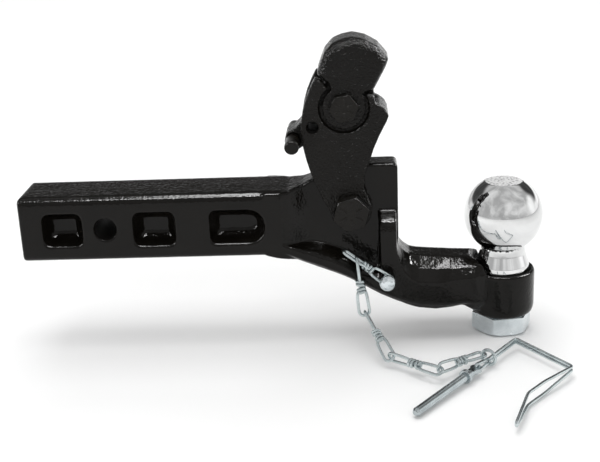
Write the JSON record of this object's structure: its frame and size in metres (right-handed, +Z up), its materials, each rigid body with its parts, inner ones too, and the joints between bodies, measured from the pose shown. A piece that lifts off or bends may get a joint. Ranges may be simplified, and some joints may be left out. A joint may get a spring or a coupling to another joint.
{
  "type": "trailer hitch with ball",
  "caption": "Receiver-mount towing hitch with a chrome ball and a swinging jaw that latches over a pintle eye, with a wire lock pin kept on a short safety chain.",
  "frame": {"origin": "centre of the hitch pin hole in the shank, midway between the two shank sides", "axes": "+X along the shank toward the ball, +Y along the pin hole across the hitch, +Z up"},
  "size_m": [0.403, 0.1998, 0.2325],
  "materials": {
    "black_cast": "gloss black paint over smooth casting",
    "black_rough_cast": "gloss black paint over pebbled casting",
    "black_bar": "gloss black paint",
    "black_bolt": "satin black",
    "ball_chrome": "polished chrome",
    "zinc": "bright zinc plate",
    "zinc_wire": "bright zinc plated wire",
    "spring_steel": "oiled spring steel"
  },
  "bodies": {
    "hitch": {"hitch_body": "black_cast", "arm_pivot_bolt": "black_bolt", "arm_pivot_washer": "zinc", "arm_pivot_nut": "zinc", "hitch_ball": "ball_chrome", "ball_lock_washer": "zinc", "ball_nut": "zinc", "chain_stud": "zinc"},
    "arm": {"jaw_arm": "black_rough_cast", "jaw_pivot_bolt": "black_bolt", "jaw_pivot_nut": "zinc", "latch_springs": "spring_steel"},
    "jaw": {"top_jaw": "black_rough_cast", "handle_bar": "black_bar"},
    "chain_1": {"chain_link_1": "zinc_wire"},
    "chain_2": {"chain_link_2": "zinc_wire"},
    "chain_3": {"chain_link_3": "zinc_wire"},
    "chain_4": {"chain_link_4": "zinc_wire"},
    "chain_5": {"chain_link_5": "zinc_wire"},
    "ring": {"chain_end_ring": "zinc_wire"},
    "bail": {"lock_pin_bail": "zinc_wire"},
    "pin": {"lock_pin": "zinc", "lock_pin_collar": "zinc"}
  },
  "joints": [
    {"name": "arm_swing", "type": "hinge", "parent": "hitch", "child": "arm", "pos_m": [0.1838, 0, 0.0075], "axis": [0, 1, 0], "range_deg": [0, 62]},
    {"name": "latch_rock", "type": "hinge", "parent": "arm", "child": "jaw", "pos_m": [0.1805, 0, 0.0855], "axis": [0, 1, 0], "range_deg": [0, 7], "stiffness_Nm_per_rad": 2, "springref_deg": -28.65},
    {"name": "link_1_swing", "type": "hinge", "parent": "hitch", "child": "chain_1", "pos_m": [0.2093, -0.03, -0.044], "axis": [0, 1, 0], "range_deg": [-2, 25]},
    {"name": "link_2_swing", "type": "hinge", "parent": "chain_1", "child": "chain_2", "pos_m": [0.187, -0.03161, -0.02799], "axis": [-0.808, 0.0705, 0.5849], "range_deg": [-1, 30]},
    {"name": "link_3_swing", "type": "hinge", "parent": "chain_2", "child": "chain_3", "pos_m": [0.19336, -0.03845, -0.06779], "axis": [-0.8717, -0.1215, -0.4747], "range_deg": [-4, 25]},
    {"name": "link_4_swing", "type": "hinge", "parent": "chain_3", "child": "chain_4", "pos_m": [0.21166, -0.06938, -0.08833], "axis": [-0.4352, -0.5676, -0.6988], "range_deg": [-6, 3]},
    {"name": "link_5_swing", "type": "hinge", "parent": "chain_4", "child": "chain_5", "pos_m": [0.24138, -0.09189, -0.08856], "axis": [0.1976, 0.2707, -0.9422], "range_deg": [-4, 12]},
    {"name": "ring_swing", "type": "hinge", "parent": "chain_5", "child": "ring", "pos_m": [0.27768, -0.06867, -0.08904], "axis": [0.6102, 0.7923, 0], "range_deg": [-6, 12]},
    {"name": "bail_slew", "type": "hinge", "parent": "ring", "child": "bail", "pos_m": [0.28093, -0.07117, -0.09], "axis": [0, 0, 1], "range_deg": [-4, 5]},
    {"name": "lock_pin_swing", "type": "hinge", "parent": "bail", "child": "pin", "pos_m": [0.26934, -0.08622, -0.0906], "axis": [0, 0, 1], "range_deg": [-6, 45]}
  ]
}
